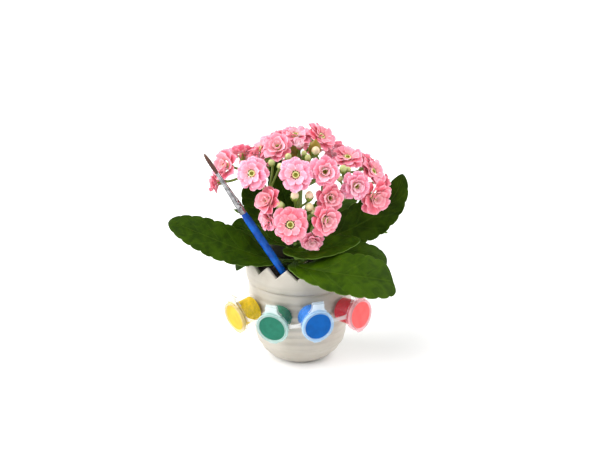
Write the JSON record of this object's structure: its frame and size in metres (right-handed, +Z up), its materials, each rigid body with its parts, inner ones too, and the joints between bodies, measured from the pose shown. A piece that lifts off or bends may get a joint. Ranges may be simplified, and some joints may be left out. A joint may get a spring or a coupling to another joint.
{
  "type": "potted kalanchoe with paint cups",
  "caption": "Double-flowered kalanchoe in a round pot with a zig-zag rim, with a moulded strip of hinged-lid paint cups round the front and a small brush standing in the soil.",
  "frame": {"origin": "centre of the pot's flat base", "axes": "+Z up along the pot's axis, -Y towards the viewer with the paint cups in front, +X to the right"},
  "size_m": [0.1548, 0.1297, 0.1576],
  "materials": {
    "pot": "matte",
    "soil": "matte",
    "leaf": "satin",
    "stem": "matte",
    "petal": "matte",
    "brush_bristles": "matte",
    "brush_ferrule": "satin",
    "brush_handle": "gloss",
    "paint_strip": "satin",
    "paint_yellow": "satin",
    "lid_yellow": "satin",
    "paint_green": "satin",
    "lid_green": "satin",
    "paint_blue": "satin",
    "lid_blue": "satin",
    "paint_red": "satin",
    "lid_red": "satin"
  },
  "bodies": {
    "root": {"pot": "pot", "soil": "soil", "leaf_left_long": "leaf", "leaf_front_right": "leaf", "leaf_right_long": "leaf", "leaf_right_edge_on": "leaf", "leaf_right_low": "leaf", "leaf_left_back": "leaf", "leaf_left_upright": "leaf", "leaf_left_low": "leaf", "leaf_front_small": "leaf", "leaf_back_left": "leaf", "leaf_back_right": "leaf", "leaf_middle_upright": "leaf", "leaf_back_low": "leaf", "stems": "stem", "bloom_01": "petal", "bloom_02": "petal", "bloom_03": "petal", "bloom_04": "petal", "bloom_05": "petal", "bloom_06": "petal", "bloom_07": "petal", "bloom_08": "petal", "bloom_09": "petal", "bloom_10": "petal", "bloom_11": "petal", "bloom_12": "petal", "bloom_13": "petal", "bloom_14": "petal", "bloom_15": "petal", "bloom_16": "petal", "bloom_17": "petal", "bloom_18": "petal", "bloom_19": "petal", "bloom_20": "petal", "bloom_21": "petal", "bloom_22": "petal", "bloom_23": "petal", "bloom_24": "petal", "bloom_25": "petal", "bloom_26": "petal", "bloom_27": "petal", "bloom_28": "petal", "bloom_29": "petal", "bloom_30": "petal", "bloom_31": "petal", "bloom_32": "petal", "brush_bristles": "brush_bristles", "brush_ferrule": "brush_ferrule", "brush_handle": "brush_handle", "paint_yellow": "paint_yellow", "paint_green": "paint_green", "paint_blue": "paint_blue", "paint_red": "paint_red", "paint_strip": "paint_strip"},
    "lid_yellow": {"lid_yellow": "lid_yellow"},
    "lid_green": {"lid_green": "lid_green"},
    "lid_blue": {"lid_blue": "lid_blue"},
    "lid_red": {"lid_red": "lid_red"}
  },
  "joints": [
    {"name": "lid_yellow_hinge", "type": "hinge", "parent": "root", "child": "lid_yellow", "pos_m": [-0.04378, -0.02971, 0.05258], "axis": [-0.6157, 0.788, 0], "range_deg": [0, 150]},
    {"name": "lid_green_hinge", "type": "hinge", "parent": "root", "child": "lid_green", "pos_m": [-0.01834, -0.04866, 0.05345], "axis": [-0.9397, 0.342, 0], "range_deg": [0, 160]},
    {"name": "lid_blue_hinge", "type": "hinge", "parent": "root", "child": "lid_blue", "pos_m": [0.01094, -0.04979, 0.05613], "axis": [-0.9336, -0.3584, 0], "range_deg": [0, 115]},
    {"name": "lid_red_hinge", "type": "hinge", "parent": "root", "child": "lid_red", "pos_m": [0.03659, -0.03328, 0.05714], "axis": [-0.6947, -0.7193, 0], "range_deg": [0, 80]}
  ]
}
